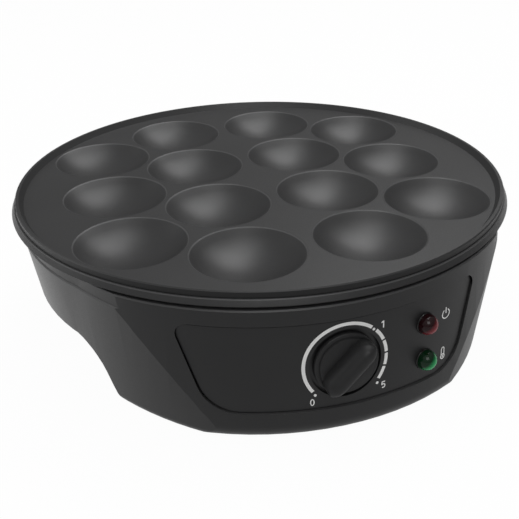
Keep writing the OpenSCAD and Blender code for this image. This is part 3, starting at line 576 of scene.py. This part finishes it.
# Dial ring: one long sweep, four segments with gaps between them, and three dots
RING_IN, RING_OUT = 21.15, 22.95
SWEEP = (-128.0, 38.2)
SCALE_STOPS = (45.6, 67.4, 87.4, 106.8, 127.6)
GAP_DEG = 2.4
DOTS = (("zero", -134.0, 22.6), ("one", 42.5, 21.7), ("five", 132.4, 23.2))
DOT_R = 0.8

printed("dial_sweep", ring_quads(RING_IN, RING_OUT, *SWEEP))
for i, (a, b) in enumerate(zip(SCALE_STOPS, SCALE_STOPS[1:])):
    printed("dial_segment_%d" % (i + 1),
            ring_quads(RING_IN, RING_OUT, a + GAP_DEG / 2, b - GAP_DEG / 2))
for label, clock, from_dial in DOTS:
    printed("dial_dot_" + label, disc_quads(polar(from_dial, clock), DOT_R))

# Figures 0, 1 and 5
ZERO_AT, ONE_AT, FIVE_AT = polar(26.6, -138.0), polar(26.6, 49.0), polar(27.4, 130.5)
ZERO_SHAPE = (1.15, 2.0, 0.55)
ONE_LINES = (((0.0, -2.0), (0.0, 2.0), 0.65), ((-1.1, 0.8), (-0.32, 1.75), 0.6))
FIVE_LINES = (((-0.9, 1.7), (1.0, 1.7), 0.6), ((-0.8, 1.4), (-0.9, 0.2), 0.6))
FIVE_BOWL = (0.75, 1.35, -60.0, 215.0, 12.0)
FIVE_BOWL_AT = moved(FIVE_AT, (-0.15, -0.65))

printed("dial_figure_zero", oval_quads(ZERO_AT, *ZERO_SHAPE))
printed("dial_figure_one", strokes(ONE_AT, ONE_LINES))
printed("dial_figure_five", strokes(FIVE_AT, FIVE_LINES) + ring_quads(*FIVE_BOWL, FIVE_BOWL_AT))

# Power and heat signs beside the lamps
POWER_AT, HEAT_AT = (60.4, 9.8), (59.5, -13.8)
POWER_RING = (2.25, 2.85, 30.0, 330.0, 10.0)
POWER_RING_AT = moved(POWER_AT, (0.0, -0.5))
POWER_LINES = (((0.0, -0.1), (0.0, 3.2), 0.62),)
BULB_RING = (1.0, 1.65, 0.0, 360.0, 15.0)
BULB_AT = moved(HEAT_AT, (0.0, -2.0))
BULB_DOT_R = 0.55
TUBE_CAP = (0.75, 1.3, -90.0, 90.0, 15.0)
TUBE_CAP_AT = moved(HEAT_AT, (0.0, 2.4))
TUBE_LINES = tuple(((x, -1.0), (x, 2.4), 0.55) for x in (-1.025, 1.025))

printed("power_ring", ring_quads(*POWER_RING, POWER_RING_AT))
printed("power_stroke", strokes(POWER_AT, POWER_LINES))
printed("heat_bulb", ring_quads(*BULB_RING, BULB_AT))
printed("heat_dot", disc_quads(BULB_AT, BULB_DOT_R))
printed("heat_tube", ring_quads(*TUBE_CAP, TUBE_CAP_AT) + strokes(HEAT_AT, TUBE_LINES))


# Floor and light

FLOOR_HALF = 4.0
FLOOR_GREY, FLOOR_ROUGH, FLOOR_SHINE = (0.86, 0.86, 0.86), 0.9, 0.1
FLOOR_SHARE = 0.97
FLOOR_TOWARD = (-0.05, 1.0, 0.0)
FLOOR_RANGE = (-0.18, 0.06, 0.50, 1.0)
SKY_TOWARD = Vector((-0.20, -0.10, 0.97)).normalized()
SKY_RANGE = (-0.3, 1.0, 0.06, 0.50)
WHITE = (1.0, 1.0, 1.0, 1.0)
# Name, place, aim, side in metres and power in watts
LIGHTS = (
    ("back", (0.50, 0.50, 1.15), (0.0, 0.05, 0.05), 0.7, 6.0),
    ("top", (0.10, 0.10, 1.4), (0.0, 0.0, 0.05), 0.6, 3.5),
    ("left", (-1.2, 0.4, 0.6), (-0.3, 0.1, 0.0), 0.8, 2.2),
    ("front", (-0.2, -1.2, 1.2), (0.0, 0.0, 0.05), 0.8, 5.0),
)


def shown(mat, toward, coordinate, limits):
    """1 for the camera; for other rays a value graded along a direction."""
    place = source(mat, "ShaderNodeTexCoord", coordinate)
    graded = map_range(mat, vector_maths(mat, "DOT_PRODUCT", place, toward, "Value"), *limits)
    return maths(mat, "MAXIMUM", source(mat, "ShaderNodeLightPath", "Is Camera Ray"), graded)


def floor():
    """White to the camera and graded in mirror images, with a share left that takes the shadow."""
    mesh = bpy.data.meshes.new("floor")
    corners = [(x * FLOOR_HALF, y * FLOOR_HALF, 0) for x, y in ((-1, -1), (1, -1), (1, 1), (-1, 1))]
    mesh.from_pydata(corners, [], [(0, 1, 2, 3)])
    obj = add("floor", mesh)
    mat = material("floor_white", FLOOR_GREY, FLOOR_ROUGH, Specular_IOR_Level=FLOOR_SHINE)
    tree = mat.node_tree
    glow = tree.nodes.new("ShaderNodeEmission")
    glow.inputs["Color"].default_value = WHITE
    tree.links.new(shown(mat, FLOOR_TOWARD, "Object", FLOOR_RANGE), glow.inputs["Strength"])
    path = tree.nodes.new("ShaderNodeLightPath").outputs
    seen = maths(mat, "MAXIMUM", path["Is Camera Ray"], path["Is Glossy Ray"])
    mix = tree.nodes.new("ShaderNodeMixShader")
    tree.links.new(maths(mat, "MULTIPLY", seen, FLOOR_SHARE), mix.inputs["Fac"])
    tree.links.new(tree.nodes["Principled BSDF"].outputs["BSDF"], mix.inputs[1])
    tree.links.new(glow.outputs["Emission"], mix.inputs[2])
    tree.links.new(mix.outputs["Shader"], tree.nodes["Material Output"].inputs["Surface"])
    obj.data.materials.append(mat)


def world():
    """White to the camera, and a soft sky for all else."""
    env = bpy.data.worlds.new("studio")
    env.use_nodes = True
    back = env.node_tree.nodes["Background"]
    back.inputs["Color"].default_value = WHITE
    strength = shown(env, SKY_TOWARD, "Generated", SKY_RANGE)
    env.node_tree.links.new(strength, back.inputs["Strength"])
    bpy.context.scene.world = env


def area(name, place, aim, side, power):
    """A square area light that looks from its place at its aim."""
    data = bpy.data.lights.new(name, "AREA")
    data.shape = "RECTANGLE"
    data.size = side
    data.size_y = side
    data.energy = power
    obj = add(name, data)
    obj.location = place
    obj.rotation_mode = "QUATERNION"
    obj.rotation_quaternion = (Vector(aim) - Vector(place)).to_track_quat("-Z", "Y")


floor()
world()
for light in LIGHTS:
    area(*light)


# Camera fitted to the rim and the cup edges of the photograph, measured from the plate's axis

CAMERA_AT = Vector((-128.375 * MM, -455.626 * MM + AXIS_Y, 276.837 * MM))
CAMERA_YAW, CAMERA_PITCH, CAMERA_ROLL = 0.27299, 0.48973, -0.02415
FOCAL_PX, IMAGE_PX = 805.35, 519
SENSOR_MM = 36.0
CLIP_START = 0.01

camera_data = bpy.data.cameras.new("camera")
camera_data.sensor_fit = "HORIZONTAL"
camera_data.sensor_width = SENSOR_MM
camera_data.lens = FOCAL_PX / IMAGE_PX * SENSOR_MM
camera_data.clip_start = CLIP_START
camera = add("camera", camera_data)
camera.location = CAMERA_AT
camera.rotation_mode = "QUATERNION"
level = math.cos(CAMERA_PITCH)
ahead = Vector((math.sin(CAMERA_YAW) * level, math.cos(CAMERA_YAW) * level,
                -math.sin(CAMERA_PITCH)))
right = Vector((math.cos(CAMERA_YAW), -math.sin(CAMERA_YAW), 0.0))
upright = Matrix((right, right.cross(ahead), -ahead)).transposed().to_quaternion()
camera.rotation_quaternion = upright @ Quaternion((0, 0, 1), CAMERA_ROLL)
bpy.context.scene.camera = camera
bpy.context.scene.view_settings.view_transform = "Standard"
